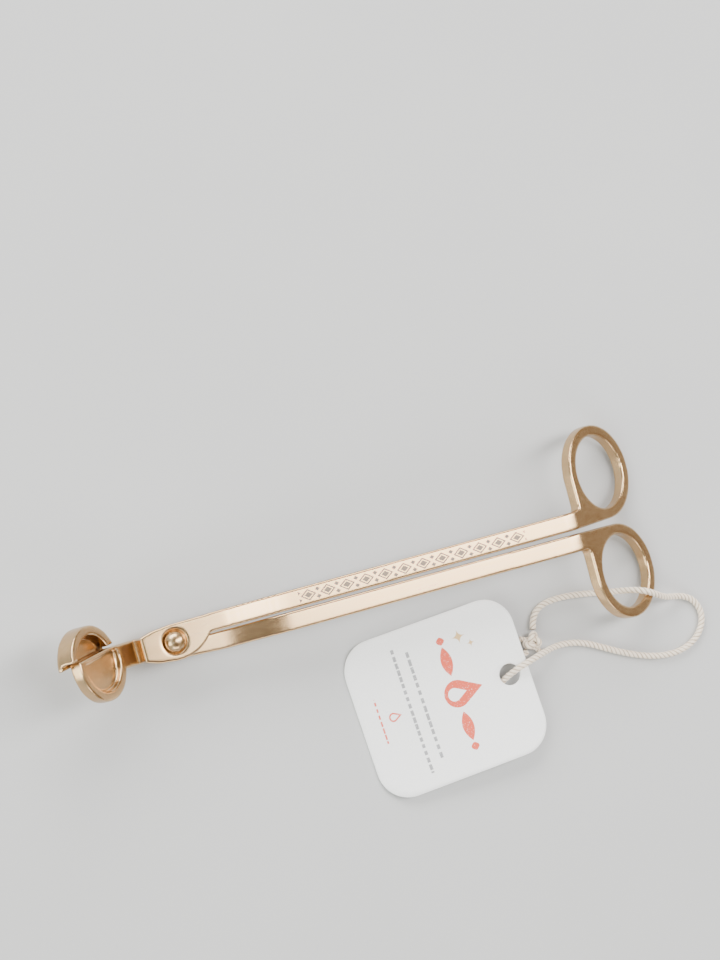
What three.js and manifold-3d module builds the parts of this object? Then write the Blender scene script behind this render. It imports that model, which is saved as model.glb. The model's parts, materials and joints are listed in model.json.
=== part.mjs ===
// Wick trimmer: two angled steel arms crossing at a domed rivet, a half-dish jaw
// and a crescent jaw at one end, a finger ring on each arm at the other, and a
// card tag on a cotton cord looped through the lower ring. It lies on its back.
//
// The trimmer is drawn in a working frame of its own: X runs from the rivet to
// the rings, Y up across the arms, Z out of the front, and the two arms meet at
// Z = 0. The last section lays it down on Z = 0 of the part's frame.
import * as THREE from "three";
import { NURBSCurve } from "three/addons/curves/NURBSCurve.js";
import { mergeVertices } from "three/addons/utils/BufferGeometryUtils.js";
import Module from "manifold-3d";

const wasm = await Module();
wasm.setup();

// ---------- driving dimensions, in millimetres and degrees ----------
const sheet = 3.3; // thickness of both arms, the rings and the dish jaw
const gap = 0.3; // running clearance between the two arms
const armWidth = 5.2;
const armSplit = { pivotEnd: 0.4, ringEnd: 1.0 }; // slot between the two arms
const armMiddle = -0.35; // Y of the middle of that slot

const joggleStart = 14; // X where the arms start to come into one plane
const joggleLength = 20;
const ringBendX = 119; // X where the front faces of arm and ring plane meet
const ringBend = 34;
const ringBendRadius = 5; // inside the bend

const ringHole = 10.7; // radius
const ringBand = 3.1; // radial width
const ringBehind = 4.8; // from the bend line to the near side of a ring
const ringGap = 1.8; // between the two rings
const ringFillet = 1.5;

const plateTop = 4.8;
const plateBottom = -5.3;
const neckWidth = 6.9;
const neckMiddle = -0.15;
const sweepX = 10.2; // X of the crotch where the two arms part
const sweepStart = 0.2; // X where the plate's end starts to sweep round
const frontShoulder = { near: 3.5, far: 8.5 }; // from the step to the plate's full width
const rearShoulder = { near: 1.5, far: 4 };
const rearInset = 0.3; // the rear arm's pivot and neck keep inside the front one's outline

const headBend = 47;
const stepDepth = 5.15; // how far the front face drops behind the plate
const stepLean = 0.9;
const jawRadius = 10.6;
const jawAlong = 16.4; // from the step to the centre of the dish jaw
const crescentAlong = 19.5; // from the step to the centre of the crescent
const jawRim = 2.75;
const dishDepth = 1.5;
const bladeTilt = 6; // slope of the cutting edge
const bladeHeight = 2.55; // height of the edge above the centre, at crescentAlong
const bladeLand = 1.15; // flat between the edge and the dish
const bladeGap = 0.4; // crescent's rim to cutting edge when closed
const shearLap = 1.1; // how far the crescent's floor reaches past the edge
const headGap = 0.42; // front jaw's back to the crescent's floor
const floorThickness = 1.5;
const neckLap = 4; // how far the front neck runs into the dish jaw
const rearNeckThickness = 2.6;
const stepGap = 0.2; // from the back of the front arm's step to the rear arm's
const tailGap = 0.5; // from the rivet's tail to the rear arm's step
const opening = 25; // how far the trimmer opens
const swingGap = 0.15; // what the front arm's step has to spare as it turns
const headJoin = 0.1; // how far the heads run back into their steps
const plateJoin = 1; // how far the steps run into the plates

const rivet = { shank: 1.6, dome: 2.75, domeHeight: 1.9, collar: 0.1 };
const rivetTail = { radius: 2.4, flat: 1.7, height: 0.9 };
const rivetSeat = { margin: 0.65, depth: 0.5 };
const clearance = 0.3; // between pieces that touch on the real trimmer

// The card leans on the cord that runs under its top edge.
const card = { width: 46, height: 52, thickness: 0.6, corner: 9, tilt: 4, turn: 4 };
const cardHole = { radius: 3.1, fromTop: 6, at: [38.3, -34.5] };

const cordDiameter = 1.8;
const cordSides = 8;
const cordSteps = 76;
// Out of the knot, under the card and up through its hole, round over the right side
// of the lower ring, back under its left side, and into the knot again.
const cordRoute = [
  [46.2, -29.8, 1.3], [43.4, -30.9, 0.95], [39.2, -31, 0.95], [34.6, -30.6, 0.95],
  [29.6, -30.1, 0.95], [25.4, -31.2, 0.95], [23.6, -34.8, 0.95], [25.4, -38.4, 0.95],
  [29.4, -39.6, 0.95], [33.3, -38.3, 0.95], [36.2, -36, 1.6], [38.4, -34.5, 3.6],
  [41, -33.2, 5.9], [45.4, -32, 6.2], [50, -31.2, 4.4], [53.8, -30.7, 1.8],
  [58.4, -30.6, 0.95], [64.5, -32, 0.95], [71.4, -36.1, 0.95], [78.6, -39.7, 0.95],
  [85.8, -42.2, 0.95], [93.4, -42.6, 0.95], [100, -39.8, 0.95], [103.4, -33.8, 0.95],
  [101, -28, 0.95], [95.8, -26.4, 1.5], [92, -26, 3.9], [89.2, -24.9, 5.7],
  [86.9, -23.7, 7.3], [83.9, -22.1, 8.3], [80.9, -20.9, 6.2], [77.4, -20.2, 2.2],
  [72.8, -19.4, 0.95], [66, -18, 0.95], [58.4, -17.4, 0.95], [52.8, -18.2, 0.95],
  [50.4, -21.2, 0.95], [49.6, -24.2, 1.5],
];
const knot = { at: [48.2, -27.4, 2.2], radii: [2.5, 2.2, 2], turn: 50 };

const circleSteps = 72;
const gold = { color: 0xc9a878, metalness: 1, roughness: 0.35 };
const cardboard = { color: 0xf2efea, metalness: 0, roughness: 0.8 };
const cotton = { color: 0xe6d9c6, metalness: 0, roughness: 0.95 };

// ---------- solids ----------
const radians = THREE.MathUtils.degToRad;

function solid(geometry) {
  const bare = geometry.index ? geometry.toNonIndexed() : geometry.clone();
  bare.deleteAttribute("normal");
  bare.deleteAttribute("uv");
  const merged = mergeVertices(bare, 1e-5);
  const vertProperties = new Float32Array(merged.attributes.position.array);
  const triVerts = new Uint32Array(merged.index.array);
  return new wasm.Manifold(new wasm.Mesh({ numProp: 3, vertProperties, triVerts }));
}

function toGeometry(body) {
  const made = body.getMesh();
  const geometry = new THREE.BufferGeometry();
  geometry.setAttribute("position", new THREE.BufferAttribute(made.vertProperties, 3));
  geometry.setIndex(new THREE.BufferAttribute(made.triVerts, 1));
  geometry.computeVertexNormals();
  return geometry;
}

function prism(shape, depth, matrix = new THREE.Matrix4()) {
  const options = { depth, bevelEnabled: false, curveSegments: circleSteps / 2 };
  return solid(new THREE.ExtrudeGeometry(shape, options).applyMatrix4(matrix));
}

// A prism of an outline in the X-Z plane, between two values of Y.
function profile(points, low, high) {
  const shape = new THREE.Shape(points.map(([x, z]) => new THREE.Vector2(x, -z)));
  const stand = new THREE.Matrix4().makeRotationX(-Math.PI / 2);
  stand.setPosition(0, low, 0);
  return prism(shape, high - low, stand);
}

function cylinder(radius, low, high, x = 0, y = 0) {
  const outline = new THREE.Shape();
  outline.absarc(x, y, radius, 0, 2 * Math.PI);
  const place = new THREE.Matrix4().makeTranslation(0, 0, low);
  return prism(outline, high - low, place);
}

function box(low, high) {
  const size = high.map((value, i) => value - low[i]);
  const block = new THREE.BoxGeometry(...size);
  block.translate(low[0] + size[0] / 2, low[1] + size[1] / 2, low[2] + size[2] / 2);
  return solid(block);
}

function arcPoints(centre, radius, from, to, steps) {
  const points = [];
  for (let i = 0; i <= steps; i += 1) {
    const angle = radians(from + ((to - from) * i) / steps);
    points.push([centre[0] + radius * Math.cos(angle), centre[1] + radius * Math.sin(angle)]);
  }
  return points;
}

// ---------- the side profile shared by both arms ----------
const reach = 60; // taller than anything it cuts
const layer = (sheet + gap) / 2; // middle of an arm's sheet, from Z = 0, at the pivot
const bendStart = ringBendX - (ringBendRadius + sheet) * Math.tan(radians(ringBend / 2));

const cosRing = Math.cos(radians(ringBend));
const sinRing = Math.sin(radians(ringBend));

// A point of the ring plane in the X-Z plane: along from the bend line, behind the front face.
function ringPlanePoint(along, behind) {
  return [
    ringBendX + along * cosRing - behind * sinRing,
    sheet / 2 - along * sinRing - behind * cosRing,
  ];
}

// The bar of one arm seen from the side: side is 1 for the front arm, -1 for the rear.
function armProfile(side, left) {
  const rise = (x) => {
    const t = THREE.MathUtils.clamp((x - joggleStart) / joggleLength, 0, 1);
    return (side * layer * (1 + Math.cos(Math.PI * t))) / 2;
  };
  const stations = [left];
  for (let i = 0; i <= 16; i += 1) stations.push(joggleStart + (joggleLength * i) / 16);
  const centre = [bendStart, sheet / 2 - ringBendRadius - sheet];
  const outer = arcPoints(centre, ringBendRadius + sheet, 90, 90 - ringBend, 8);
  const inner = arcPoints(centre, ringBendRadius, 90 - ringBend, 90, 8);
  return [
    ...stations.map((x) => [x, rise(x) + sheet / 2]),
    ...outer,
    ringPlanePoint(reach, 0),
    ringPlanePoint(reach, sheet),
    ...inner,
    ...stations.reverse().map((x) => [x, rise(x) - sheet / 2]),
  ];
}

// Inner edge of an arm at a given X: side is 1 for the upper arm, -1 for the lower.
function innerEdge(side, x) {
  const t = Math.min((x - sweepX) / (bendStart - sweepX), 1);
  return armMiddle + (side * THREE.MathUtils.lerp(armSplit.pivotEnd, armSplit.ringEnd, t)) / 2;
}

// ---------- front faces of the two arms, seen square on ----------
const rearStepX = -(rivetTail.radius + tailGap + rearNeckThickness); // left faces of the steps
const plateLeft = rearStepX - stepGap - sheet;
const neckTop = neckMiddle + neckWidth / 2;
const neckBottom = neckMiddle - neckWidth / 2;

// Radius of the sweep that starts along an edge at Y = flat and ends at the crotch.
function sweepRadius(flat, crotch) {
  const run = sweepX - sweepStart;
  const rise = Math.abs(crotch - flat);
  return (run * run + rise * rise) / (2 * rise);
}

// The outline is drawn for the upper (front) arm; the rear arm is its mirror image.
// Edges are given as heights: outerEdge and neck.outer up, farEdge and neck.far down.
function armOutline(side, left, outerEdge, farEdge, neck, shoulder) {
  const end = ringBendX;
  const inner = (x) => side * innerEdge(side, x);
  const outer = (x) => inner(x) + armWidth;
  const radius = sweepRadius(-farEdge, inner(sweepX));
  const sweep = arcPoints([sweepStart, radius - farEdge], radius, -90, 0, circleSteps);
  const kept = sweep.filter(([x]) => x < sweepX);
  const near = left + shoulder.near;
  const far = left + shoulder.far;
  const points = [
    [left, -neck.far],
    [near, -(neck.far + 2 * farEdge) / 3],
    [far, -farEdge],
    ...kept,
    [sweepX, inner(sweepX)],
    [bendStart, inner(bendStart)],
    [end, inner(end)],
    [end, outer(end)],
    [bendStart, outer(bendStart)],
    [joggleStart, outer(joggleStart)],
    [0, outerEdge],
    [far, outerEdge],
    [near, (neck.outer + 2 * outerEdge) / 3],
    [left, neck.outer],
  ];
  return new THREE.Shape(points.map(([x, y]) => new THREE.Vector2(x, side * y)));
}

// ---------- finger rings ----------
const ringRadius = ringHole + ringBand;
const ringAlong = ringBehind + ringRadius; // from the bend line to the ring's centre
const ringApart = ringRadius + ringGap / 2; // from the slot's middle to a ring's centre

const ringBasis = new THREE.Matrix4().makeBasis(
  new THREE.Vector3(cosRing, 0, -sinRing),
  new THREE.Vector3(0, 1, 0),
  new THREE.Vector3(sinRing, 0, cosRing),
);

// Cuts a ring and the end of its arm out of the bent sheet, square to the ring plane.
function ringCutter(side) {
  const centre = ringApart + side * armMiddle;
  const inner = side * innerEdge(side, ringBendX);
  const outer = inner + armWidth;
  const arcs = arcPoints([ringAlong, centre], ringRadius, -90, 180, (circleSteps * 3) / 4);
  const corner = [ringBehind - ringFillet, outer + ringFillet];
  const edge = [
    [0, inner],
    ...arcs,
    ...arcPoints(corner, ringFillet, 0, -90, 6),
    [0, outer],
  ];
  const shape = new THREE.Shape(edge.map(([x, y]) => new THREE.Vector2(x, side * y)));
  const hole = new THREE.Path();
  hole.absarc(ringAlong, side * centre, ringHole, 0, 2 * Math.PI);
  shape.holes.push(hole);
  const place = ringBasis.clone();
  place.setPosition(...at3(ringPlanePoint(0, 2 * sheet)));
  return prism(shape, 3 * sheet, place);
}

// The bent bar of an arm with its ring.
function handle(side, left, outline) {
  const slab = profile(armProfile(side, left), -reach, reach);
  const place = new THREE.Matrix4().makeTranslation(0, 0, -reach);
  return slab.intersect(prism(outline, 2 * reach, place).add(ringCutter(side)));
}

function at3([x, z]) {
  return [x, 0, z];
}

// ---------- the step and the head ----------
// Head frame: X runs from the foot of the step out along the head, Y as before,
// and Z back through the sheet, so that Z = 0 is the front face of the dish jaw.
const cosHead = Math.cos(radians(headBend));
const sinHead = Math.sin(radians(headBend));
const plateFront = layer + sheet / 2;
const stepFoot = [plateLeft - stepLean, plateFront - stepDepth];
const headBasis = new THREE.Matrix4().makeBasis(
  new THREE.Vector3(-cosHead, 0, sinHead),
  new THREE.Vector3(0, 1, 0),
  new THREE.Vector3(-sinHead, 0, -cosHead),
);
headBasis.setPosition(...at3(stepFoot));

const headPoint = (along, behind) => [
  stepFoot[0] - along * cosHead - behind * sinHead,
  stepFoot[1] + along * sinHead - behind * cosHead,
];
const inHead = (body) => body.transform(headBasis.elements);

// Height of the cutting edge, raised by offset, at a distance along the head.
function bladeY(along, offset) {
  return bladeHeight + offset - (along - crescentAlong) * Math.tan(radians(bladeTilt));
}

// Everything on one side of a line parallel to the cutting edge.
function halfSpace(offset, above, near, far) {
  const end = above ? reach : -reach;
  const shape = new THREE.Shape([
    new THREE.Vector2(-reach, bladeY(-reach, offset)),
    new THREE.Vector2(reach, bladeY(reach, offset)),
    new THREE.Vector2(reach, end),
    new THREE.Vector2(-reach, end),
  ]);
  return prism(shape, far - near, new THREE.Matrix4().makeTranslation(0, 0, near));
}

function dishJaw() {
  const disc = cylinder(jawRadius, 0, sheet, jawAlong);
  const neckEnd = jawAlong - jawRadius + neckLap;
  const neck = box([-headJoin, neckBottom, 0], [neckEnd, neckTop, sheet]);
  const below = box([-1, -reach, -1], [reach, neckTop, sheet + 1]);
  const dish = cylinder(jawRadius - jawRim, -1, dishDepth, jawAlong);
  const pocket = dish.intersect(halfSpace(-bladeLand, false, -2, sheet));
  const jaw = disc.add(neck).intersect(below).intersect(halfSpace(0, false, -1, sheet + 1));
  return inHead(jaw.subtract(pocket));
}

// The crescent's floor passes behind the dish jaw, and its neck runs on under the floor.
function crescentJaw() {
  const top = sheet + headGap;
  const bottom = top + floorThickness;
  const wall = cylinder(jawRadius, 0, bottom, crescentAlong)
    .subtract(cylinder(jawRadius - jawRim, -1, top, crescentAlong))
    .intersect(halfSpace(bladeGap, true, -1, bottom + 1));
  const floor = cylinder(jawRadius, top, bottom, crescentAlong).intersect(
    halfSpace(-shearLap, true, 0, 2 * reach),
  );
  const neck = box(
    [-headJoin, neckBottom + rearInset, top],
    [crescentAlong, neckTop - rearInset, top + rearNeckThickness],
  );
  return inHead(wall.add(floor).add(neck));
}

// The step of the front arm: down from the plate, then out along the head.
function frontStep() {
  const back = sheet;
  const leanAngle = THREE.MathUtils.radToDeg(Math.atan2(stepLean, stepDepth));
  const round = arcPoints(stepFoot, back, 180 + headBend + (90 - 2 * headBend), 360 - leanAngle, 10);
  const top = [plateLeft + back, layer - sheet / 2];
  const points = [
    [plateLeft, plateFront],
    stepFoot,
    headPoint(1, 0),
    headPoint(1, back),
    ...round,
    top,
    [top[0] + plateJoin, top[1]],
    [top[0] + plateJoin, plateFront],
  ];
  return profile(points, neckBottom, neckTop);
}

// The step of the rear arm goes round the front one with room for it to turn.
function rearStep() {
  const near = sheet + headGap;
  const far = near + rearNeckThickness;
  const from = 180 + headBend + (90 - 2 * headBend);
  const plateBack = -layer - sheet / 2;
  const wallBack = rearStepX + rearNeckThickness;
  const points = [
    [rearStepX, -gap / 2],
    [rearStepX, stepFoot[1] - near],
    ...arcPoints(stepFoot, near, 270, from, 8),
    headPoint(1, near),
    headPoint(1, far),
    ...arcPoints(stepFoot, far, from, 270, 8),
    [wallBack, stepFoot[1] - far],
    [wallBack, plateBack],
    [wallBack + plateJoin, plateBack],
    [wallBack + plateJoin, -gap / 2],
  ];
  return profile(points, neckBottom + rearInset, neckTop - rearInset);
}

// ---------- the pivot ----------
const boreRadius = rivet.shank + clearance;

function frontArm() {
  const neck = { far: -neckBottom, outer: neckTop };
  const outline = armOutline(1, plateLeft, plateTop, -plateBottom, neck, frontShoulder);
  const seatFloor = plateFront - rivetSeat.depth;
  return handle(1, plateLeft, outline)
    .add(frontStep())
    .add(dishJaw())
    .subtract(cylinder(boreRadius, -reach, reach))
    .subtract(cylinder(rivet.dome + rivetSeat.margin, seatFloor, reach));
}

function rearArm() {
  const neck = { far: neckTop - rearInset, outer: -neckBottom - rearInset };
  const outer = -plateBottom - rearInset;
  const far = plateTop - rearInset;
  const outline = armOutline(-1, rearStepX, outer, far, neck, rearShoulder);
  return handle(-1, rearStepX, outline)
    .add(rearStep())
    .add(crescentJaw())
    .subtract(swingRoom())
    .subtract(cylinder(boreRadius, -reach, reach));
}

// What the back of the front arm's step passes through as the trimmer opens.
function swingRoom() {
  const back = -(plateLeft + sheet) - swingGap;
  const end = 180 + opening;
  const arc = arcPoints([0, 0], back, 180, end, 8);
  const [x, y] = arc[arc.length - 1];
  const below = [
    [x - reach * Math.sin(radians(end)), y + reach * Math.cos(radians(end))],
    [-back - 1, y + reach * Math.cos(radians(end))],
    [-back - 1, 0],
  ];
  const outline = new THREE.Shape([...arc, ...below].map((at) => new THREE.Vector2(...at)));
  const depth = stepDepth / 2;
  return prism(outline, depth, new THREE.Matrix4().makeTranslation(0, 0, -depth));
}

function turned(points) {
  const section = points.map(([radius, z]) => new THREE.Vector2(radius, z));
  const lathe = new THREE.LatheGeometry(section, circleSteps / 2);
  return lathe.rotateX(Math.PI / 2);
}

const tailTop = -layer - sheet / 2 - clearance;

function pivotRivet() {
  const seat = plateFront - rivetSeat.depth + clearance;
  const collar = plateFront + rivet.collar;
  const dome = [];
  for (let i = 0; i <= 8; i += 1) {
    const angle = (Math.PI / 2) * (i / 8);
    dome.push([rivet.dome * Math.cos(angle), collar + rivet.domeHeight * Math.sin(angle)]);
  }
  dome[8][0] = 0;
  return turned([
    [0, tailTop - rivetTail.height],
    [rivetTail.flat, tailTop - rivetTail.height],
    [rivetTail.radius, tailTop - rivetTail.height / 2],
    [rivetTail.radius, tailTop],
    [rivet.shank, tailTop],
    [rivet.shank, seat],
    [rivet.dome, seat],
    ...dome,
  ]);
}

// ---------- the tag on its cord, in the part's own frame ----------
function tagCard() {
  const shape = new THREE.Shape();
  const side = card.width / 2;
  const { corner, height } = card;
  shape.absarc(height - corner, side - corner, corner, 0, Math.PI / 2);
  shape.absarc(corner, side - corner, corner, Math.PI / 2, Math.PI);
  shape.absarc(corner, corner - side, corner, Math.PI, 1.5 * Math.PI);
  shape.absarc(height - corner, corner - side, corner, 1.5 * Math.PI, 2 * Math.PI);
  const hole = new THREE.Path();
  hole.absarc(height - cardHole.fromTop, 0, cardHole.radius, 0, 2 * Math.PI);
  shape.holes.push(hole);
  const options = { depth: card.thickness, bevelEnabled: false, curveSegments: 8 };
  return new THREE.ExtrudeGeometry(shape, options);
}

function cordTube() {
  const degree = 3;
  const spans = cordRoute.length - degree;
  const inner = Array.from({ length: spans + 1 }, (_, i) => i);
  const knots = [...Array(degree).fill(0), ...inner, ...Array(degree).fill(spans)];
  const route = cordRoute.map((place) => new THREE.Vector4(...place, 1));
  const section = new THREE.Shape();
  section.absarc(0, 0, cordDiameter / 2, 0, 2 * Math.PI);
  return new THREE.ExtrudeGeometry(section, {
    steps: cordSteps,
    curveSegments: cordSides / 2,
    extrudePath: new NURBSCurve(degree, knots, route),
  });
}

function knotBall() {
  const ball = new THREE.IcosahedronGeometry(1, 6).scale(...knot.radii);
  return ball.rotateZ(radians(knot.turn));
}

// ---------- the whole trimmer ----------
function piece(name, geometry, finish) {
  const mesh = new THREE.Mesh(geometry, new THREE.MeshStandardMaterial(finish));
  mesh.name = name;
  return mesh;
}

// Angle of the line that the trimmer rests on, under the rings' far edge and the rear step.
function layAngle() {
  const ringEdge = ringPlanePoint(ringAlong + ringRadius, sheet);
  const across = ringEdge[0] - stepFoot[0];
  const up = ringEdge[1] - stepFoot[1];
  const stepRadius = sheet + headGap + rearNeckThickness;
  return Math.atan2(up, across) + Math.asin(stepRadius / Math.hypot(across, up));
}

const trimmer = new THREE.Group();
trimmer.add(piece("front_arm", toGeometry(frontArm()), gold));
trimmer.add(piece("rear_arm", toGeometry(rearArm()), gold));
trimmer.add(piece("pivot_rivet", pivotRivet(), gold));
trimmer.rotation.y = layAngle();
const metal = new THREE.Box3().setFromObject(trimmer, true);
const middle = metal.getCenter(new THREE.Vector3());
trimmer.position.set(-middle.x, -middle.y, -metal.min.z);

const tag = new THREE.Group();
const cardPiece = piece("tag_card", tagCard(), cardboard);
cardPiece.rotation.y = -radians(card.tilt);
const holeAlong = (card.height - cardHole.fromTop) * Math.cos(radians(card.tilt));
cardPiece.position.x = -holeAlong;
tag.add(cardPiece);
tag.rotation.z = radians(card.turn);
tag.position.set(...cardHole.at, 0);

const knotPiece = piece("tag_knot", knotBall(), cotton);
knotPiece.position.set(...knot.at);

const model = new THREE.Group();
model.add(trimmer, tag, piece("tag_cord", cordTube(), cotton), knotPiece);
export default model;
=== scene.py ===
# %% [markdown]
# # A wick trimmer
#
# A wick trimmer is a pair of long, cranked scissors. Its jaws are turned up so
# that they reach down into a candle jar, and one of them is a shallow dish that
# catches the cut wick. The CAD holds every size; here the metal gets its worked
# edges, its brushed plating and its engraved border, and the cord, the knot and
# the card get their real surfaces. We start with the packed CAD model.
# %% Load the CAD frame
import json
import math

import bmesh
import bpy
import numpy as np
from mathutils import Matrix, Vector


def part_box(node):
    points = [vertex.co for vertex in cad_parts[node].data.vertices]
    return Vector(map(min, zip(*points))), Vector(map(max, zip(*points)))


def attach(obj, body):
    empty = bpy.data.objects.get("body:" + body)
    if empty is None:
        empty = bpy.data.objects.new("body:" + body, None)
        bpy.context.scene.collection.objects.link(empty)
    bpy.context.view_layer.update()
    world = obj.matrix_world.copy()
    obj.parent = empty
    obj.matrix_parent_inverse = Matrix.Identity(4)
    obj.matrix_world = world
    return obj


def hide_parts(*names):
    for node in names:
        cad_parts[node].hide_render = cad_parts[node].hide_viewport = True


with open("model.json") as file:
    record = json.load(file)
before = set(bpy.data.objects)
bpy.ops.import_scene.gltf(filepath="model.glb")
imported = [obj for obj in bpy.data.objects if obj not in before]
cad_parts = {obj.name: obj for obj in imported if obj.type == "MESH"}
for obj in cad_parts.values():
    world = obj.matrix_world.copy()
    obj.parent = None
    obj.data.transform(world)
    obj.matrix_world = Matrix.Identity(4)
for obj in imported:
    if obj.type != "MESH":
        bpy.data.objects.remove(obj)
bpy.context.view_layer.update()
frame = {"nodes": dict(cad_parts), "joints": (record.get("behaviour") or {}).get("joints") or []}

MM = 0.001

# %% [markdown]
# The trimmer lies tilted on the table, so much of the work is easier in a frame
# of its own: X along the arms to the rings, Y across them, Z out of the front,
# and the origin on the rivet. The hinge in the CAD record gives it exactly,
# because the hinge's axis is that Z.
# %% The trimmer's own directions
hinge = frame["joints"][0]
tool_z = Vector(hinge["axis"]).normalized()
tool_y = Vector((0, 1, 0))
tool_x = tool_y.cross(tool_z)
tool = Matrix((tool_x, tool_y, tool_z)).transposed().to_4x4()
tool.translation = Vector(hinge["pos_m"])
print("rivet at", [round(x, 4) for x in tool.translation])

# %% [markdown]
# The camera comes early, because everything is judged through it. It stands
# about 0.68 m in front of the trimmer, a little to the left and rolled by 15
# degrees, with a long lens, so that the arms rise gently across the view.
# %% Camera
eye = Vector((-112.6, 20.5, 671.9)) * MM
right = Vector((0.9357, -0.2584, 0.2403))
backward = Vector((-0.2520, -0.0129, 0.9676))
upward = backward.cross(right).normalized()
lens = 93.75

camera_data = bpy.data.cameras.new("camera")
camera_data.lens = lens
camera_data.clip_start = 0.01
camera = bpy.data.objects.new("camera", camera_data)
stand = Matrix((right, upward, backward)).transposed().to_4x4()
stand.translation = eye
camera.matrix_world = tool @ stand
bpy.context.scene.collection.objects.link(camera)
bpy.context.scene.camera = camera
print("camera at", [round(x, 3) for x in camera.location])

# %% [markdown]
# Small helpers for meshes. Every piece is made from points and faces in code,
# shaded smooth, given its material and tied to the CAD body that it moves with.
# %% Making a piece
def new_piece(name, mesh, material, body):
    piece = bpy.data.objects.new(name, mesh)
    bpy.context.scene.collection.objects.link(piece)
    mesh.materials.append(material)
    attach(piece, body)
    print(f"{name}: {len(mesh.polygons)} faces")
    return piece


def mesh_of(name, points, faces, smooth=True):
    mesh = bpy.data.meshes.new(name)
    mesh.from_pydata([tuple(p) for p in points], [], faces)
    mesh.validate()
    mesh.polygons.foreach_set("use_smooth", [smooth] * len(mesh.polygons))
    mesh.update()
    return mesh


# %% [markdown]
# ## Shader maths
#
# A material is easiest to read as sums. `Value` wraps one output socket, and
# adding or multiplying two of them adds the Math node that does it. `node`
# makes any other kind of node: its settings first, then its inputs.
# %% Sockets with arithmetic
class Value:
    def __init__(self, tree, socket):
        self.tree = tree
        self.socket = socket

    def node(self, kind, settings=(), inputs=(), output=0):
        made = self.tree.nodes.new(kind)
        for key, setting in dict(settings).items():
            setattr(made, key, setting)
        for key, wanted in dict(inputs).items():
            if isinstance(wanted, Value):
                self.tree.links.new(wanted.socket, made.inputs[key])
            else:
                made.inputs[key].default_value = wanted
        return Value(self.tree, made.outputs[output])

    def math(self, operation, *others):
        inputs = dict(enumerate((self, *others)))
        return self.node("ShaderNodeMath", {"operation": operation}, inputs)

    def __add__(self, other):
        return self.math("ADD", other)

    def __sub__(self, other):
        return self.math("SUBTRACT", other)

    def __rsub__(self, other):
        return self.node("ShaderNodeMath", {"operation": "SUBTRACT"}, {0: other, 1: self})

    def __mul__(self, other):
        return self.math("MULTIPLY", other)

    def __truediv__(self, other):
        return self.math("DIVIDE", other)

    def __lt__(self, other):
        return self.math("LESS_THAN", other)

    def __gt__(self, other):
        return self.math("GREATER_THAN", other)

    __radd__ = __add__
    __rmul__ = __mul__

    def abs(self):
        return self.math("ABSOLUTE")

    def smooth(self, low, high):
        settings = {"interpolation_type": "SMOOTHSTEP"}
        inputs = {"Value": self, "From Min": low, "From Max": high}
        return self.node("ShaderNodeMapRange", settings, inputs)

    def mix(self, first, second):
        inputs = {"Factor": self, 6: first, 7: second}
        return self.node("ShaderNodeMix", {"data_type": "RGBA"}, inputs, output=2)

    def noise(self, scale, detail=2.0, roughness=0.5):
        inputs = {"Vector": self, "Scale": scale, "Detail": detail, "Roughness": roughness}
        return self.node("ShaderNodeTexNoise", {}, inputs)

    def stretched(self, scale):
        inputs = {"Vector": self, "Scale": scale}
        return self.node("ShaderNodeMapping", {"vector_type": "POINT"}, inputs)

    def axes(self):
        return [self.node("ShaderNodeSeparateXYZ", {}, {0: self}, output=i) for i in range(3)]

    def bump(self, strength, distance):
        inputs = {"Height": self, "Strength": strength, "Distance": distance}
        return self.node("ShaderNodeBump", {}, inputs)


print("Value:", len([name for name in vars(Value) if name != "__doc__"]), "names")

# %% [markdown]
# A material starts as the Principled shader with its plain numbers set, and
# hands back its place: the point on the mesh, in metres, that every pattern is
# worked out from. `feed` ties finished expressions to the shader's sockets.
# %% A material and what feeds it
def material(name, **shader_settings):
    made = bpy.data.materials.new(name)
    made.use_nodes = True
    tree = made.node_tree
    shader = tree.nodes["Principled BSDF"]
    for key, setting in shader_settings.items():
        shader.inputs[key.replace("_", " ")].default_value = setting
    coordinates = tree.nodes.new("ShaderNodeTexCoord")
    place = Value(tree, coordinates.outputs["Object"])
    print("material:", name)
    return made, shader, place


def feed(shader, **links):
    for key, value in links.items():
        value.tree.links.new(value.socket, shader.inputs[key.replace("_", " ")])


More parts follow.
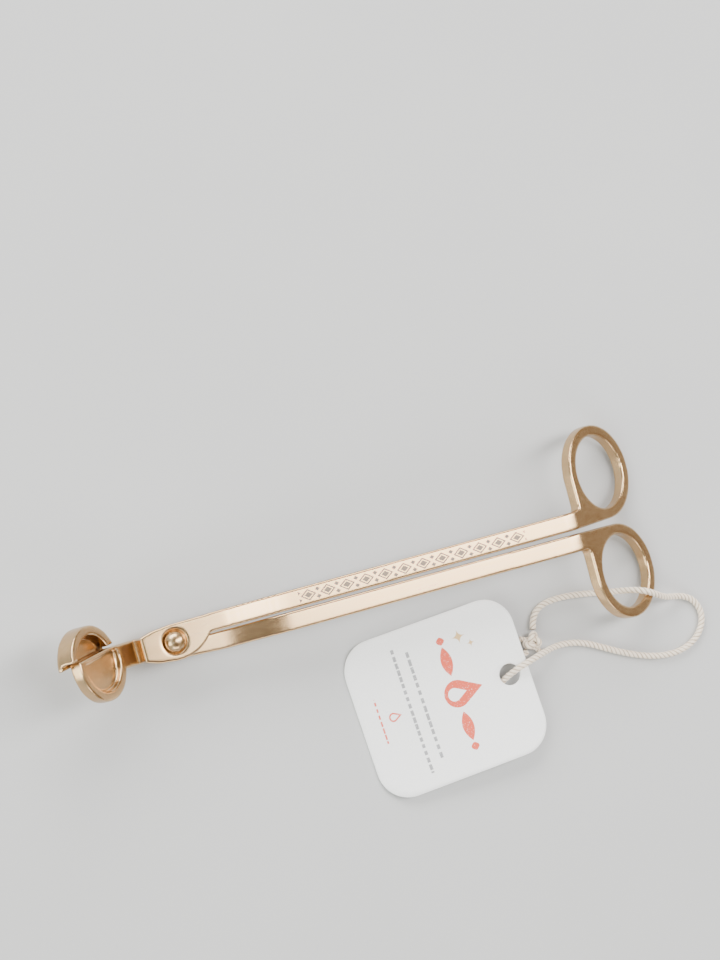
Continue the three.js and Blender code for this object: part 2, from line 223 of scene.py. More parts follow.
# %% [markdown]
# ## The tag's cord
#
# The tag hangs on undyed cotton cord, 1.8 mm thick and twisted from three
# strands. A round tube would look like wire, so the mesh is a tube whose section
# has three lobes that turn as it goes along, and each lobe is a strand. It
# follows the same cubic curve as the CAD's tube, with the same control points.
# %% The cord's route, in metres
CORD_RADIUS = 0.93 * MM  # out to the crest of a strand; the cord is 1.8 mm thick
CORD_STATION = 0.17 * MM
CURVE_SAMPLES = 4000
cord_route = [
    (0.0462, -0.0298, 0.0013), (0.0434, -0.0309, 0.00095), (0.0392, -0.031, 0.00095),
    (0.0346, -0.0306, 0.00095), (0.0296, -0.0301, 0.00095), (0.0254, -0.0312, 0.00095),
    (0.0236, -0.0348, 0.00095), (0.0254, -0.0384, 0.00095), (0.0294, -0.0396, 0.00095),
    (0.0333, -0.0383, 0.00095), (0.0362, -0.036, 0.0016), (0.0384, -0.0345, 0.0036),
    (0.041, -0.0332, 0.0059), (0.0454, -0.032, 0.0062), (0.05, -0.0312, 0.0044),
    (0.0538, -0.0307, 0.0018), (0.0584, -0.0306, 0.00095), (0.0645, -0.032, 0.00095),
    (0.0714, -0.0361, 0.00095), (0.0786, -0.0397, 0.00095), (0.0858, -0.0422, 0.00095),
    (0.0934, -0.0426, 0.00095), (0.1, -0.0398, 0.00095), (0.1034, -0.0338, 0.00095),
    (0.101, -0.028, 0.00095), (0.0958, -0.0264, 0.0015), (0.092, -0.026, 0.0039),
    (0.0892, -0.0249, 0.0057), (0.0869, -0.0237, 0.0073), (0.0839, -0.0221, 0.0083),
    (0.0809, -0.0209, 0.0062), (0.0774, -0.0202, 0.0022), (0.0728, -0.0194, 0.00095),
    (0.066, -0.018, 0.00095), (0.0584, -0.0174, 0.00095), (0.0528, -0.0182, 0.00095),
    (0.0504, -0.0212, 0.00095), (0.0496, -0.0242, 0.0015),
]
print("cord route:", len(cord_route), "control points")

# %% [markdown]
# A curve object could round these points off, but the strands need to know how
# far along the cord they are. So the curve is worked out here as a line of
# points, and then the line is walked again in equal steps.
# %% From control points to an even line
def spline_points(control, count):
    """Points of the cubic B-spline with clamped ends, by de Boor's rule."""
    degree = 3
    spans = len(control) - degree
    knots = [0] * degree + list(range(spans + 1)) + [spans] * degree
    points = []
    for i in range(count):
        t = spans * i / (count - 1)
        span = min(int(t), spans - 1) + degree
        near = [Vector(control[span - degree + j]) for j in range(degree + 1)]
        for level in range(1, degree + 1):
            for j in range(degree, level - 1, -1):
                low = knots[span - degree + j]
                share = (t - low) / (knots[span + 1 + j - level] - low)
                near[j] = near[j - 1].lerp(near[j], share)
        points.append(near[degree])
    return points


def evenly(points, step):
    """The same line again, with points about step apart."""
    out = [points[0]]
    left = step
    for a, b in zip(points, points[1:]):
        length = (b - a).length
        while left <= length:
            out.append(a.lerp(b, left / length))
            left += step
        left -= length
    if (out[-1] - points[-1]).length < step / 2:
        out.pop()
    return out + [points[-1]]


cord_line = evenly(spline_points(cord_route, CURVE_SAMPLES), CORD_STATION)
cord_length = sum((b - a).length for a, b in zip(cord_line, cord_line[1:]))
print(f"cord: {cord_length * 1000:.0f} mm long, {len(cord_line)} stations")


# %% [markdown]
# The strands' slope is what the eye reads as twist. One full turn takes a
# little over two diameters, and the lobes are deep enough to throw a shadow
# between them. The section is carried along the line without spinning, then
# turned by the twist. Each point keeps how near it is to a strand's crest in
# the attribute "crest", which the cotton's colour reads to paint shade into the grooves.
# %% Twisted strands along a line
STRANDS = 3
TWIST_PITCH = 4.2 * MM
TUBE_SIDES = 24
GROOVE_DEPTH = 0.2  # as a share of the radius, and so is the fuzz
CREST_WIDTH = 0.7  # below 1 the strands are wider than the grooves
FUZZ_HEIGHT, FUZZ_AROUND, FUZZ_ALONG = 0.02, 17, 2300


def twisted_tube(name, line, radius):
    normal = (line[1] - line[0]).orthogonal().normalized()
    points, faces, crests, travelled = [], [], [], 0.0
    for i, centre in enumerate(line):
        along = (line[min(i + 1, len(line) - 1)] - line[max(i - 1, 0)]).normalized()
        normal = (normal - along * normal.dot(along)).normalized()
        across = along.cross(normal)
        if i:
            travelled += (centre - line[i - 1]).length
        turn = 2 * math.pi * travelled / TWIST_PITCH
        for j in range(TUBE_SIDES):
            angle = 2 * math.pi * j / TUBE_SIDES
            lobe = abs(math.cos(STRANDS * (angle - turn) / 2)) ** CREST_WIDTH
            fuzz = FUZZ_HEIGHT * math.sin(FUZZ_AROUND * angle + FUZZ_ALONG * travelled)
            reach = radius * (1 - GROOVE_DEPTH + GROOVE_DEPTH * lobe + fuzz)
            crests.append(lobe)
            spoke = normal * math.cos(angle) + across * math.sin(angle)
            points.append(centre + spoke * reach)
    for i in range(len(line) - 1):
        for j in range(TUBE_SIDES):
            k = (j + 1) % TUBE_SIDES
            a, b = i * TUBE_SIDES, (i + 1) * TUBE_SIDES
            faces.append((a + j, a + k, b + k, b + j))
    faces.append(tuple(reversed(range(TUBE_SIDES))))
    faces.append(tuple(range((len(line) - 1) * TUBE_SIDES, len(line) * TUBE_SIDES)))
    mesh = mesh_of(name, points, faces)
    mesh.attributes.new("crest", "FLOAT", "POINT").data.foreach_set("value", crests)
    return mesh


# %% [markdown]
# Cotton is soft and dull. Its colour wanders between cream and sand, with painted
# shade darkening it down in the grooves between the strands, and its fibres are a
# fine noise in a bump.
# %% Cotton
# The darker colour is painted shade for the grooves between the strands; the lighter one is the
# cotton on the crests.
COTTON_GROOVE_SHADE, COTTON_CREST = (0.40, 0.285, 0.185, 1), (0.88, 0.76, 0.62, 1)
cotton, cotton_shader, place = material("cotton", Roughness=0.95, Sheen_Weight=0.3)
blotches = place.noise(260.0, 3.0)
fibres = place.noise(5200.0, 3.0, 0.7)
crest = place.node("ShaderNodeAttribute", {"attribute_name": "crest"}, output=2)
# Painted shade: the crest share darkens the colour down in the grooves, on top of the cotton's
# own blotches and fibres.
tone = ((blotches * 0.3 + fibres * 0.3 + crest * 0.6) - 0.12).smooth(0.25, 0.7)
feed(
    cotton_shader,
    Base_Color=tone.mix(COTTON_GROOVE_SHADE, COTTON_CREST),
    Normal=fibres.bump(0.5, 0.15 * MM),
)
cord = new_piece("cotton_cord", twisted_tube("cotton_cord", cord_line, CORD_RADIUS),
                 cotton, "rear_arm")
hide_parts("tag_cord")

# %% [markdown]
# ## The knot
#
# Both ends of the cord are tied together in an overhand knot. Its path is an
# open trefoil, a little flattened, with the same middle as the CAD's knot.
# %% The knot's loops
KNOT_SIZE, KNOT_RISE = 0.78 * MM, 1.15
KNOT_BEARING, KNOT_SQUASH = math.radians(38), (1.0, 0.86, 0.95, 1)
KNOT_OPENING = 0.16  # where the trefoil is left open, in radians at each end
KNOT_STEPS, KNOT_STATION = 180, 0.18 * MM
knot_low, knot_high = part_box("tag_knot")
knot_centre = (knot_low + knot_high) / 2


def trefoil(t, size):
    return Vector((
        size * (math.sin(t) + 2 * math.sin(2 * t)),
        size * (math.cos(t) - 2 * math.cos(2 * t)),
        size * -KNOT_RISE * math.sin(3 * t),
    ))


knot_turn = Matrix.Rotation(KNOT_BEARING, 4, "Z") @ Matrix.Diagonal(KNOT_SQUASH)
knot_ring = []
for i in range(KNOT_STEPS + 1):
    t = KNOT_OPENING + (2 * math.pi - 2 * KNOT_OPENING) * i / KNOT_STEPS
    knot_ring.append(knot_turn @ trefoil(t, KNOT_SIZE))
knot_line = evenly([knot_centre + p for p in knot_ring], KNOT_STATION)
print("knot:", len(knot_line), "stations")

# %% [markdown]
# Two short cut ends stick out of the knot. Each leaves it level, drops to the
# table and lies on it. The loops and both ends become one piece.
# %% The knot's cut ends, and the whole knot
TAIL_START = 1 * MM  # inside the knot
TAIL_REST = 0.85 * MM  # height of a tail's middle as it lies on the table
TAIL_DROP = 1.3
TAIL_SAMPLES = 200


def tail(bearing, reach):
    heading = Vector((math.cos(math.radians(bearing)), math.sin(math.radians(bearing)), 0))
    control = []
    for share in (0.0, 0.25, 0.5, 0.75, 1.0):
        point = knot_centre + heading * (TAIL_START + share * reach)
        point.z = max(TAIL_REST, knot_centre.z * (1 - TAIL_DROP * share))
        control.append(point)
    return evenly(spline_points(control, TAIL_SAMPLES), KNOT_STATION)


def joined(name, meshes):
    shape = bmesh.new()
    for mesh in meshes:
        shape.from_mesh(mesh)
    made = bpy.data.meshes.new(name)
    shape.to_mesh(made)
    shape.free()
    return made


knot_mesh = joined("overhand_knot", [
    twisted_tube("knot_loops", knot_line, 0.86 * MM),
    twisted_tube("first_tail", tail(-62, 4.2 * MM), 0.8 * MM),
    twisted_tube("second_tail", tail(152, 2.6 * MM), 0.8 * MM),
])
knot_piece = new_piece("overhand_knot", knot_mesh, cotton, "rear_arm")
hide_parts("tag_knot")

# %% [markdown]
# ## The card
#
# The tag is stiff white card with round corners. It leans on the cord under its
# top edge and lifts a little along both sides, as card does. The lift starts
# well away from the hole, so the cord still passes as the CAD has it.
# %% Card outline
CARD_WIDTH, CARD_HEIGHT, CARD_THICKNESS = 46 * MM, 52 * MM, 0.6 * MM
CARD_CORNER = 9 * MM
HOLE_RADIUS, HOLE_FROM_TOP = 3.1 * MM, 6 * MM
CARD_TILT, CARD_TURN = math.radians(4), math.radians(4)
HOLE_ON_TABLE = (0.0383, -0.0345, 0)
CORNER_STEPS, RIM_SPACING = 12, 1.1 * MM
LOW_FLAT, LOW_SPAN, LOW_LIFT = 6 * MM, 17 * MM, 1.3 * MM
HIGH_FLAT, HIGH_SPAN, HIGH_LIFT = 8 * MM, 15 * MM, 0.5 * MM
END_SHARE = 0.55  # how much of the lift is left at the card's two ends
print("card:", round(CARD_WIDTH / MM), "by", round(CARD_HEIGHT / MM), "mm")

# %% [markdown]
# The hole is the card's fixed point, because the cord runs through it. The card
# is turned and tilted about the hole, and all its points are reckoned from it.
# %% The card's place, edge and lift
hole = Vector((CARD_HEIGHT - HOLE_FROM_TOP, 0, 0))
card_place = (
    Matrix.Translation(HOLE_ON_TABLE)
    @ Matrix.Rotation(CARD_TURN, 4, "Z")
    @ Matrix.Translation((-hole.x * math.cos(CARD_TILT), 0, 0))
    @ Matrix.Rotation(-CARD_TILT, 4, "Y")
)


def card_outline():
    """The card's edge in its own plane: X from the bottom edge to the top, Y across."""
    side = CARD_WIDTH / 2 - CARD_CORNER
    corners = [
        (CARD_HEIGHT - CARD_CORNER, side, 0), (CARD_CORNER, side, 90),
        (CARD_CORNER, -side, 180), (CARD_HEIGHT - CARD_CORNER, -side, 270),
    ]
    points = []
    for x, y, start in corners:
        for step in range(CORNER_STEPS + 1):
            angle = math.radians(start + 90 * step / CORNER_STEPS)
            points.append(Vector((
                x + CARD_CORNER * math.cos(angle), y + CARD_CORNER * math.sin(angle), 0)))
    points.append(points[0])
    return evenly(points, RIM_SPACING)[:-1]


def card_lift(point):
    """How far the card bends up: only well away from the hole and its cord."""
    low_side = max(0.0, -point.y - LOW_FLAT) / LOW_SPAN
    high_side = max(0.0, point.y - HIGH_FLAT) / HIGH_SPAN
    along = math.sin(math.pi * min(1.0, max(0.0, point.x / CARD_HEIGHT)))
    lift = LOW_LIFT * low_side**2 + HIGH_LIFT * high_side**2
    return lift * (END_SHARE + (1 - END_SHARE) * along)


edge = card_outline()
around = len(edge)
print("card rim points:", around)

# %% [markdown]
# A flat card could be one face with a hole cut in it, but such a face can't
# bend. Here rings of quads run from the hole out to the edge, once for the top
# and once for the bottom, and every point takes its lift from where it is.
# %% Card faces
CARD_RINGS = 16
CRUSHED = 0.16 * MM  # how far the edge is rounded in
card_points, card_faces = [], []


def lifted(point, level):
    return point + Vector((0, 0, level * CARD_THICKNESS + card_lift(point)))


def strip(a, b, forward):
    """Quads between two rings of points that start at a and b."""
    for j in range(around):
        k = (j + 1) % around
        quad = (a + j, b + j, b + k, a + k)
        card_faces.append(quad if forward else tuple(reversed(quad)))


def sheet_of_quads(level, forward):
    """One face of the card; returns the number of its first point."""
    start = len(card_points)
    for ring in range(CARD_RINGS + 1):
        for rim in edge:
            away = (rim - hole).normalized()
            inner = hole + away * (HOLE_RADIUS + CRUSHED)
            outer = rim - away * CRUSHED
            card_points.append(lifted(inner.lerp(outer, ring / CARD_RINGS), level))
    for ring in range(CARD_RINGS):
        strip(start + ring * around, start + (ring + 1) * around, forward)
    return start


card_top = sheet_of_quads(1.0, True)
card_bottom = sheet_of_quads(0.0, False)
print("card faces, top and bottom:", len(card_faces))

# %% [markdown]
# Cut card is crushed at its edge, so the two faces are joined by a rounded rim:
# two more rings of points that stand out a little further than the faces do.
# %% Card rims
RIM_LEVELS = (0.72, 0.28)  # as shares of the thickness


def bridge(upper, lower, outward, rim_points):
    chain = [upper]
    for level in RIM_LEVELS:
        chain.append(len(card_points))
        card_points.extend(lifted(point, level) for point in rim_points)
    chain.append(lower)
    for a, b in zip(chain, chain[1:]):
        strip(a, b, outward)


last = CARD_RINGS * around
hole_rim = [hole + (rim - hole).normalized() * HOLE_RADIUS for rim in edge]
bridge(card_top + last, card_bottom + last, True, edge)
bridge(card_top, card_bottom, False, hole_rim)
card_mesh = mesh_of("card", card_points, card_faces)
print("card faces with its rims:", len(card_mesh.polygons))

# %% [markdown]
# The paper is off-white with a faint tooth. Its face carries a small generic
# print, and each shape in it is a mask: a few lines of arithmetic that come to 1
# inside the shape and 0 outside, from how far a point is across the card (u) and
# up it (v).
# %% Paper, and masks for the print
PAPER_DULL, PAPER_BRIGHT = (0.92, 0.918, 0.91, 1), (0.97, 0.968, 0.96, 1)
card_paper, card_shader, place = material("printed_card", Roughness=0.75)
tooth = place.noise(2600.0, 4.0, 0.6)
x, y, z = place.axes()
paper = tooth.smooth(0.35, 0.7).mix(PAPER_DULL, PAPER_BRIGHT)
u = y * -1.0


def flame_mask(u, v, size):
    """A drop: a disc, and the two lines that touch it and meet at twice its radius."""
    disc = (u * u + v * v).math("SQRT") < size
    tip = (v > size / 2) * ((u.abs() * math.sqrt(3) + v) < 2 * size)
    return (disc + tip).math("MINIMUM", 1.0)


def leaf_mask(u, v, middle, half_width, half_height):
    """A slim pointed leaf lying on its side."""
    share = ((u - middle) / half_width).abs()
    return (v.abs() / half_height + share * share) < 1.0


def dashes(u, v, row, reach, period, thickness):
    """A row of short bars of uneven length, like print too small to make out."""
    phase = (u / period).math("FRACT")
    length = (u * 410.0).math("SINE") * 0.14 + 0.70
    return ((v - row).abs() < thickness) * (phase < length) * (u.abs() < reach)


def sparkle(u, v, left, up, size):
    """A star with four thin points."""
    across_star = (u + left).abs().math("SQRT")
    along_star = (v - up).abs().math("SQRT")
    return (across_star + along_star) < math.sqrt(size)


print("paper nodes:", len(card_paper.node_tree.nodes))

# %% [markdown]
# In coral there is a drop with a smaller one cut out of it, between two leaves
# and two buds, and lower down a small outlined drop over a row of dashes.
# %% The coral print
TITLE_UP, DROP, DROP_INSIDE, INSIDE_LOWER = 29.5 * MM, 3.9 * MM, 1.9 * MM, 0.9 * MM
LEAF_OUT, LEAF_LONG, LEAF_HIGH = 9.6 * MM, 4.3 * MM, 1.7 * MM
BUD_OUT, BUD_SIZE = 15.6 * MM, 1.2 * MM
MARK_UP, MARK, MARK_INSIDE = 9.6 * MM, 1.3 * MM, 0.85 * MM
title = x - TITLE_UP
mark = x - MARK_UP
big_flame = flame_mask(u, title, DROP) * (1 - flame_mask(u, title + INSIDE_LOWER, DROP_INSIDE))
leaves = leaf_mask(u.abs(), title, LEAF_OUT, LEAF_LONG, LEAF_HIGH)
buds = leaf_mask(u.abs(), title, BUD_OUT, BUD_SIZE, BUD_SIZE)
coral_row = dashes(u, x, 5.8 * MM, 6.5 * MM, 1.9 * MM, 0.26 * MM)
flame_ring = flame_mask(u, mark, MARK) * (1 - flame_mask(u, mark, MARK_INSIDE))
coral_mask = (big_flame + leaves + buds + coral_row + flame_ring).math("MINIMUM", 1.0)
print("paper nodes with the coral print:", len(card_paper.node_tree.nodes))

# %% [markdown]
# Two small gold sparkles stand above the drop and to one side, and two rows of grey dashes
# below it, where a real tag has its words. Ink is thin where the paper's tooth
# is low. The height test keeps print off the underside where the card is flat;
# where its sides lift, the underside passes the test too and takes some print.
# %% The sparkles, the grey rows and the ink
CORAL, CORAL_COVER = (0.72, 0.075, 0.025, 1), 0.97
GOLD_INK, GOLD_COVER = (0.62, 0.36, 0.08, 1), 0.85
GREY, GREY_COVER = (0.10, 0.10, 0.11, 1), 0.75
star = (
    sparkle(u, x, 15.2 * MM, 35.0 * MM, 2.3 * MM)
    + sparkle(u, x, 12.4 * MM, 38.0 * MM, 1.3 * MM)
)
grey_mask = (
    dashes(u, x, 19.2 * MM, 16.0 * MM, 2.3 * MM, 0.46 * MM)
    + dashes(u, x, 15.2 * MM, 18.5 * MM, 2.0 * MM, 0.46 * MM)
).math("MINIMUM", 1.0)
facing_up = z > 0.35 * CARD_THICKNESS
ink_wear = tooth.smooth(0.2, 0.45)
face = (coral_mask * facing_up * ink_wear * CORAL_COVER).mix(paper, CORAL)
face = (star * facing_up * GOLD_COVER).mix(face, GOLD_INK)
face = (grey_mask * facing_up * ink_wear * GREY_COVER).mix(face, GREY)
feed(card_shader, Base_Color=face, Normal=tooth.bump(0.15, 0.05 * MM))
print("paper nodes in all:", len(card_paper.node_tree.nodes))

# %% [markdown]
# The card's mesh is made flat in its own plane, where the print is worked out,
# and its object carries it to its place on the table. It rides with the rear
# arm, because its cord runs through that arm's ring.
# %% The card in its place
card = bpy.data.objects.new("card", card_mesh)
bpy.context.scene.collection.objects.link(card)
card.matrix_world = card_place
card_mesh.materials.append(card_paper)
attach(card, "rear_arm")
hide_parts("tag_card")
print("card turned by", round(math.degrees(CARD_TURN)), "degrees on the table")

# %% [markdown]
# ## Worked metal
#
# The arms are stamped and cranked steel, then tumbled and polished, so no edge
# is left sharp, and that soft edge is what catches the light. The Bevel tool
# could round a clean model, but here cuts cross each other and leave edges of a
# few hundredths of a millimetre, which stop it. Tumbling itself is the better
# guide: it wears a surface down wherever it is sharp. So the solid is rebuilt
# from small even faces, and then each point moves a little towards its
# neighbours, over and over. Flat faces stay flat, and corners go round.
# %% Even faces on a CAD solid
def with_modifier(mesh, kind, settings):
    """A new mesh: the old one after a modifier."""
    holder = bpy.data.objects.new("holder", mesh)
    bpy.context.scene.collection.objects.link(holder)
    modifier = holder.modifiers.new(kind, kind)
    for key, setting in settings.items():
        setattr(modifier, key, setting)
    view = bpy.context.evaluated_depsgraph_get()
    made = bpy.data.meshes.new_from_object(holder.evaluated_get(view))
    bpy.data.objects.remove(holder)
    return made


def even_mesh(node, size):
    """The node's solid again, squared up to the trimmer, in faces of one size."""
    mesh = frame["nodes"][node].data.copy()
    mesh.transform(tool.inverted())
    mesh.materials.clear()
    return with_modifier(mesh, "REMESH", {"mode": "VOXEL", "voxel_size": size})


# %% [markdown]
# One pass moves every point half of the way to the mean of its neighbours. How
# far a point has gone by the last pass is how much it was worn, and the gold
# reads that to make the edge smoother and to paint a highlight on it.
# %% Tumbling
def tumble(mesh, passes, wear):
    """Rounds the edges, and notes in "polished" how much each point was worn."""
    count = len(mesh.vertices)
    points = np.empty(count * 3)
    mesh.vertices.foreach_get("co", points)
    points = points.reshape(-1, 3)
    ends = np.empty(len(mesh.edges) * 2, int)
    mesh.edges.foreach_get("vertices", ends)
    a, b = ends.reshape(-1, 2).T
    links = np.bincount(np.concatenate((a, b)), minlength=count)
    before = points.copy()
    for _ in range(passes):
        mean = [
            np.bincount(a, points[b, i], count) + np.bincount(b, points[a, i], count)
            for i in range(3)
        ]
        points += 0.5 * (np.array(mean).T / links[:, None] - points)
    worn = np.clip(np.linalg.norm(points - before, axis=1) / wear, 0, 1)
    mesh.vertices.foreach_set("co", points.ravel())
    mesh.attributes.new("polished", "FLOAT", "POINT").data.foreach_set("value", worn)
    mesh.polygons.foreach_set("use_smooth", [True] * len(mesh.polygons))
    mesh.update()
    return mesh


# %% [markdown]
# Voxel faces are far more than flat bars need, so once the edges are round most
# of them are merged, and the mesh goes back from the trimmer's frame to its
# place on the table.
# %% A worked solid
EVEN_FACE = 0.2 * MM
TUMBLING, FULL_WEAR = 18, 0.13 * MM  # passes, and the wear that counts as all
KEPT_FACES = 0.3


def worked(node, name):
    mesh = tumble(even_mesh(node, EVEN_FACE), TUMBLING, FULL_WEAR)
    fine = len(mesh.polygons)
    mesh = with_modifier(mesh, "DECIMATE", {"ratio": KEPT_FACES})
    mesh.transform(tool)
    mesh.name = name
    print(name, "went from", fine, "faces to", len(mesh.polygons))
    return mesh


# %% [markdown]
# ## Champagne-gold plating
#
# Satin plating is a metal whose brushing runs along the arm: noise stretched
# hundreds of times longer than it is wide, in the roughness and in a very fine
# bump. Broad, faint clouds keep large faces from looking printed, and the
# polished edges are smoother, and paler from a painted highlight.
# %% Brushed gold
GOLD_DEEP = (0.50, 0.325, 0.165, 1)
GOLD_PALE = (0.62, 0.435, 0.25, 1)
SATIN = 0.25  # the plating's roughness


def brushed_gold(name, base, pale, roughness):
    made, shader, place = material(name, Metallic=1.0)
    grain = place.stretched((70.0, 5200.0, 5200.0)).noise(1.0, 3.0, 0.65)
    streaks = place.stretched((24.0, 900.0, 900.0)).noise(1.0, 2.0, 0.6)
    clouds = place.noise(55.0, 3.0)
    edge = place.node("ShaderNodeAttribute", {"attribute_name": "polished"}, output=2)
    tone = (grain * 0.15 + streaks * 0.45 + clouds * 0.4).smooth(0.3, 0.7)
    # Painted highlight: the worn share at the edges pales the colour towards the pale gold.
    colour = (tone * 0.6 + edge * 0.35).math("MINIMUM", 1.0).mix(base, pale)
    rough = (grain - 0.5) * 0.06 + (streaks - 0.5) * 0.08 + (clouds - 0.5) * 0.05
    rough = (rough + roughness - edge * 0.08).math("MAXIMUM", 0.12)
    return made, shader, place, colour, rough, streaks


gold, gold_shader, place, gold_colour, gold_rough, streaks = brushed_gold(
    "brushed_gold", GOLD_DEEP, GOLD_PALE, SATIN)
feed(gold_shader, Base_Color=gold_colour, Roughness=gold_rough,
     Normal=streaks.bump(0.04, 0.02 * MM))
print("gold nodes:", len(gold.node_tree.nodes))

# %% [markdown]
# The front arm has a laser-etched border along its bar, a row of small lozenges
# with two leaves between each pair. The row is a mask on the place along the
# bar and across it. These two sums lean the wrong way by the arm's slight tilt,
# so the places along the bar are up to a millimetre out, and the height test
# lets the row through to the bar's back as well as its front.
# %% The etched row
ETCH_START, ETCH_END = 36 * MM, 103 * MM  # along the bar, from the rivet
ETCH_MIDDLE = 2.55 * MM  # across the bar
ETCH_PERIOD = 5.6 * MM
ETCH_HEIGHT = 1.2 * MM
LOZENGE_SLOPE, LOZENGE_REACH = 0.72, 1.62 * MM
LOZENGE_LINE, LINE_HALF_WIDTH = 1.02 * MM, 0.17 * MM
LEAF_REACH, LEAF_OFFSET = 0.9 * MM, 1.05 * MM
LEAF_SLOPE_ALONG, LEAF_SLOPE_ACROSS = 1.25, 1.5
etched, etched_shader, place, colour, rough, streaks = brushed_gold(
    "etched_gold", GOLD_DEEP, GOLD_PALE, SATIN)
tilt = math.atan2(-hinge["axis"][0], hinge["axis"][2])
x, y, z = place.axes()
origin = tool.translation
along = (x - origin.x) * math.cos(tilt) - (z - origin.z) * math.sin(tilt)
out = (x - origin.x) * math.sin(tilt) + (z - origin.z) * math.cos(tilt)
across = y - (origin.y + ETCH_MIDDLE)
phase = ((along - ETCH_START) / ETCH_PERIOD).math("FRACT") * ETCH_PERIOD - ETCH_PERIOD / 2
lozenge = phase.abs() * LOZENGE_SLOPE + across.abs()
outline = lozenge < LOZENGE_REACH
band = (lozenge - LOZENGE_LINE).abs() > LINE_HALF_WIDTH
between = (ETCH_PERIOD / 2 - phase.abs()).abs() * LEAF_SLOPE_ALONG
leaf = (between + (across.abs() - LEAF_OFFSET).abs() * LEAF_SLOPE_ACROSS) < LEAF_REACH
run = (along > ETCH_START) * (along < ETCH_END) * (out > ETCH_HEIGHT)
print("etched gold nodes so far:", len(etched.node_tree.nodes))

# %% [markdown]
# The etching is matt and grey where it has gone through the plating's shine. It
# takes most of the gold's colour away, roughens it and sinks it very slightly.
# %% Etched gold for the front arm
ETCH_COVER, ETCH_GREY = 0.85, (0.20, 0.17, 0.145, 1)
etching = ((outline * band + leaf).math("MINIMUM", 1.0) * run) * ETCH_COVER
feed(
    etched_shader,
    Base_Color=etching.mix(colour, ETCH_GREY),
    Roughness=rough + etching * 0.3,
    Normal=(streaks * 0.3 - etching).bump(0.12, 0.03 * MM),
)
print("etched gold nodes:", len(etched.node_tree.nodes))

# %% [markdown]
# Each arm is one piece of metal, from its jaw through its cranked neck to its
# finger ring. Both are worked in the same way from their CAD solids, and each
# stands for its solid and rides on its own body, so the hinge still turns them.
# %% The two arms
front_mesh = worked("front_arm", "front_arm_metal")
front = new_piece("front_arm_metal", front_mesh, etched, "front_arm")
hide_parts("front_arm")
rear_mesh = worked("rear_arm", "rear_arm_metal")
rear = new_piece("rear_arm_metal", rear_mesh, gold, "rear_arm")
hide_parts("rear_arm")

# %% [markdown]
# ## The rivet
#
# The rivet's head is a small polished dome in a turned seat, and its tail is
# hammered over behind. Both are turned shapes: one profile swept round the
# hinge's axis, fine enough to reflect smoothly.
# %% Polished gold
rivet_gold, rivet_shader, place = material("polished_gold", Metallic=1.0)
swirl = place.noise(900.0, 3.0)
feed(
    rivet_shader,
    Base_Color=swirl.smooth(0.35, 0.65).mix(GOLD_DEEP, GOLD_PALE),
    Roughness=swirl * 0.12 + 0.20,
    Normal=swirl.bump(0.05, 0.03 * MM),
)
print("polished gold nodes:", len(rivet_gold.node_tree.nodes))

# %% [markdown]
# The profile is a list of radius and height in millimetres, from the middle of
# the hammered tail, up the shank, to the crown of the dome. Heights are from
# the middle of the two arms, along the hinge's axis.
# %% The rivet's profile
SHANK, DOME, DOME_HEIGHT, TAIL = 1.6, 2.75, 1.9, 2.4
SEAT, COLLAR = 3.25, 3.55
TAIL_TOP, TAIL_HEIGHT = -3.75, 0.9
TAIL_FLAT, TAIL_ROUND_FROM = 0.62, 0.74  # as shares of the tail's radius
HEAD_CHAMFER, HEAD_CHAMFER_HIGH = 0.15, 0.1
TAIL_STEPS, DOME_STEPS, TURNING = 6, 18, 72


def rivet_profile():
    points = [(0.0, TAIL_TOP - TAIL_HEIGHT), (TAIL * TAIL_FLAT, TAIL_TOP - TAIL_HEIGHT)]
    for step in range(TAIL_STEPS + 1):
        angle = math.radians(-90 + 90 * step / TAIL_STEPS)
        points.append((
            TAIL * TAIL_ROUND_FROM + TAIL * (1 - TAIL_ROUND_FROM) * math.cos(angle),
            TAIL_TOP - TAIL_HEIGHT / 2 + TAIL_HEIGHT / 2 * math.sin(angle)))
    points += [(TAIL, TAIL_TOP), (SHANK, TAIL_TOP), (SHANK, SEAT)]
    points += [(DOME - HEAD_CHAMFER, SEAT), (DOME, SEAT + HEAD_CHAMFER_HIGH), (DOME, COLLAR)]
    for step in range(1, DOME_STEPS):
        angle = math.pi / 2 * step / DOME_STEPS
        points.append((DOME * math.cos(angle), COLLAR + DOME_HEIGHT * math.sin(angle)))
    points.append((0.0, COLLAR + DOME_HEIGHT))
    return points


section = rivet_profile()
print("rivet profile:", len(section), "points")

# %% [markdown]
# Sweeping the profile round the axis gives rings of quads. At the two ends the
# ring has no radius, so its points are merged into one.
# %% Turned rivet
turned_points, turned_faces = [], []
for radius, height in section:
    for j in range(TURNING):
        angle = 2 * math.pi * j / TURNING
        local = Vector((radius * math.cos(angle), radius * math.sin(angle), height)) * MM
        turned_points.append(tool @ local)
for i in range(len(section) - 1):
    for j in range(TURNING):
        k = (j + 1) % TURNING
        a, b = i * TURNING, (i + 1) * TURNING
        turned_faces.append((a + j, a + k, b + k, b + j))
rivet_mesh = mesh_of("rivet", turned_points, turned_faces)
shape = bmesh.new()
shape.from_mesh(rivet_mesh)
bmesh.ops.remove_doubles(shape, verts=shape.verts, dist=0.002 * MM)
bmesh.ops.recalc_face_normals(shape, faces=shape.faces)
shape.to_mesh(rivet_mesh)
shape.free()
rivet = new_piece("pivot_rivet_metal", rivet_mesh, rivet_gold, "rear_arm")
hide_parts("pivot_rivet")
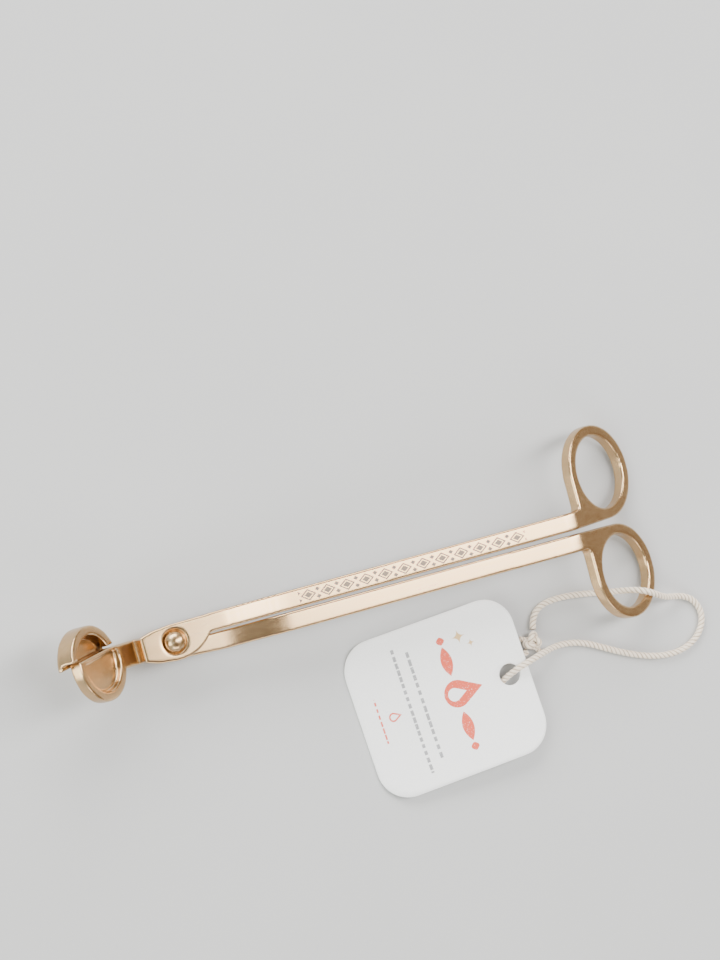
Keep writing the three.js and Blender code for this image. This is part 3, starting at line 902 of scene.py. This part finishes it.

# %% [markdown]
# ## Table and light
#
# The floor is a plain pale sheet, 3 m each way, with clouds too faint to see as
# such.
# %% Floor
FLOOR_REACH = 1.5
FLOOR_DARK, FLOOR_LIGHT = (0.485, 0.485, 0.485, 1), (0.505, 0.505, 0.503, 1)
floor_points = [
    (-FLOOR_REACH, -FLOOR_REACH, 0), (FLOOR_REACH, -FLOOR_REACH, 0),
    (FLOOR_REACH, FLOOR_REACH, 0), (-FLOOR_REACH, FLOOR_REACH, 0),
]
floor_mesh = mesh_of("floor", floor_points, [(0, 1, 2, 3)], smooth=False)
floor_paint, floor_shader, place = material("pale_floor", Roughness=0.7)
plaster = place.noise(9.0, 4.0).smooth(0.3, 0.7)
feed(floor_shader, Base_Color=plaster.mix(FLOOR_DARK, FLOOR_LIGHT))
floor = bpy.data.objects.new("floor", floor_mesh)
bpy.context.scene.collection.objects.link(floor)
floor_mesh.materials.append(floor_paint)
print("floor:", 2 * FLOOR_REACH, "m wide")

# %% [markdown]
# The light is a studio's, with four soft boxes: the key, narrow and high on the
# right, which the bends of the arms pick up as pale flashes; a wide one behind,
# a gentler, slightly green one on the left, and a weak one in front. Each is
# given by its direction in the trimmer's own frame, its distance and its size.
# %% Lights
LIT_POINT = Vector((0.05, 0, 0))  # from the rivet, and all the lights face it
FAINT_GREEN = (0.96, 1.0, 0.95)


def soft_box(name, direction, distance, size, power, colour=(1, 1, 1)):
    data = bpy.data.lights.new(name, "AREA")
    data.shape = "RECTANGLE"
    data.size, data.size_y = size
    data.energy = power
    data.color = colour
    light = bpy.data.objects.new(name, data)
    toward = (tool.to_3x3() @ Vector(direction)).normalized()
    light.location = tool.translation + LIT_POINT + toward * distance
    light.rotation_euler = toward.to_track_quat("Z", "Y").to_euler()
    bpy.context.scene.collection.objects.link(light)


soft_box("key", (0.62, 0.08, 0.78), 1.3, (0.36, 1.5), 24)
soft_box("back", (-0.10, 0.86, 0.55), 1.3, (1.4, 0.7), 30)
soft_box("left", (-0.85, -0.15, 0.50), 1.4, (0.7, 1.2), 18, FAINT_GREEN)
soft_box("front", (-0.05, -0.88, 0.50), 1.4, (1.2, 0.5), 10)

# %% [markdown]
# Plated metal shows mostly what is around it, so the room matters as much as
# the lights. It is a ramp from west to east: pale and cool, then dark and warm,
# then pale, then brown. The dark part gives the rings and the jaws their depth.
# %% Room
ROOM_COOL, ROOM_DARK = (0.80, 0.86, 0.82, 1), (0.22, 0.18, 0.15, 1)
ROOM_PALE, ROOM_BROWN = (0.86, 0.83, 0.79, 1), (0.40, 0.30, 0.20, 1)
world = bpy.data.worlds.new("studio")
bpy.context.scene.world = world
world.use_nodes = True
sky = world.node_tree.nodes["Background"]
sky_place = world.node_tree.nodes.new("ShaderNodeTexCoord")
toward = Value(world.node_tree, sky_place.outputs["Generated"])
east = toward.axes()[0]
room = east.smooth(-0.45, -0.05).mix(ROOM_COOL, ROOM_DARK)
room = east.smooth(0.12, 0.50).mix(room, ROOM_PALE)
room = east.smooth(0.62, 0.90).mix(room, ROOM_BROWN)
world.node_tree.links.new(room.socket, sky.inputs["Color"])
sky.inputs["Strength"].default_value = 0.9
print("room nodes:", len(world.node_tree.nodes))
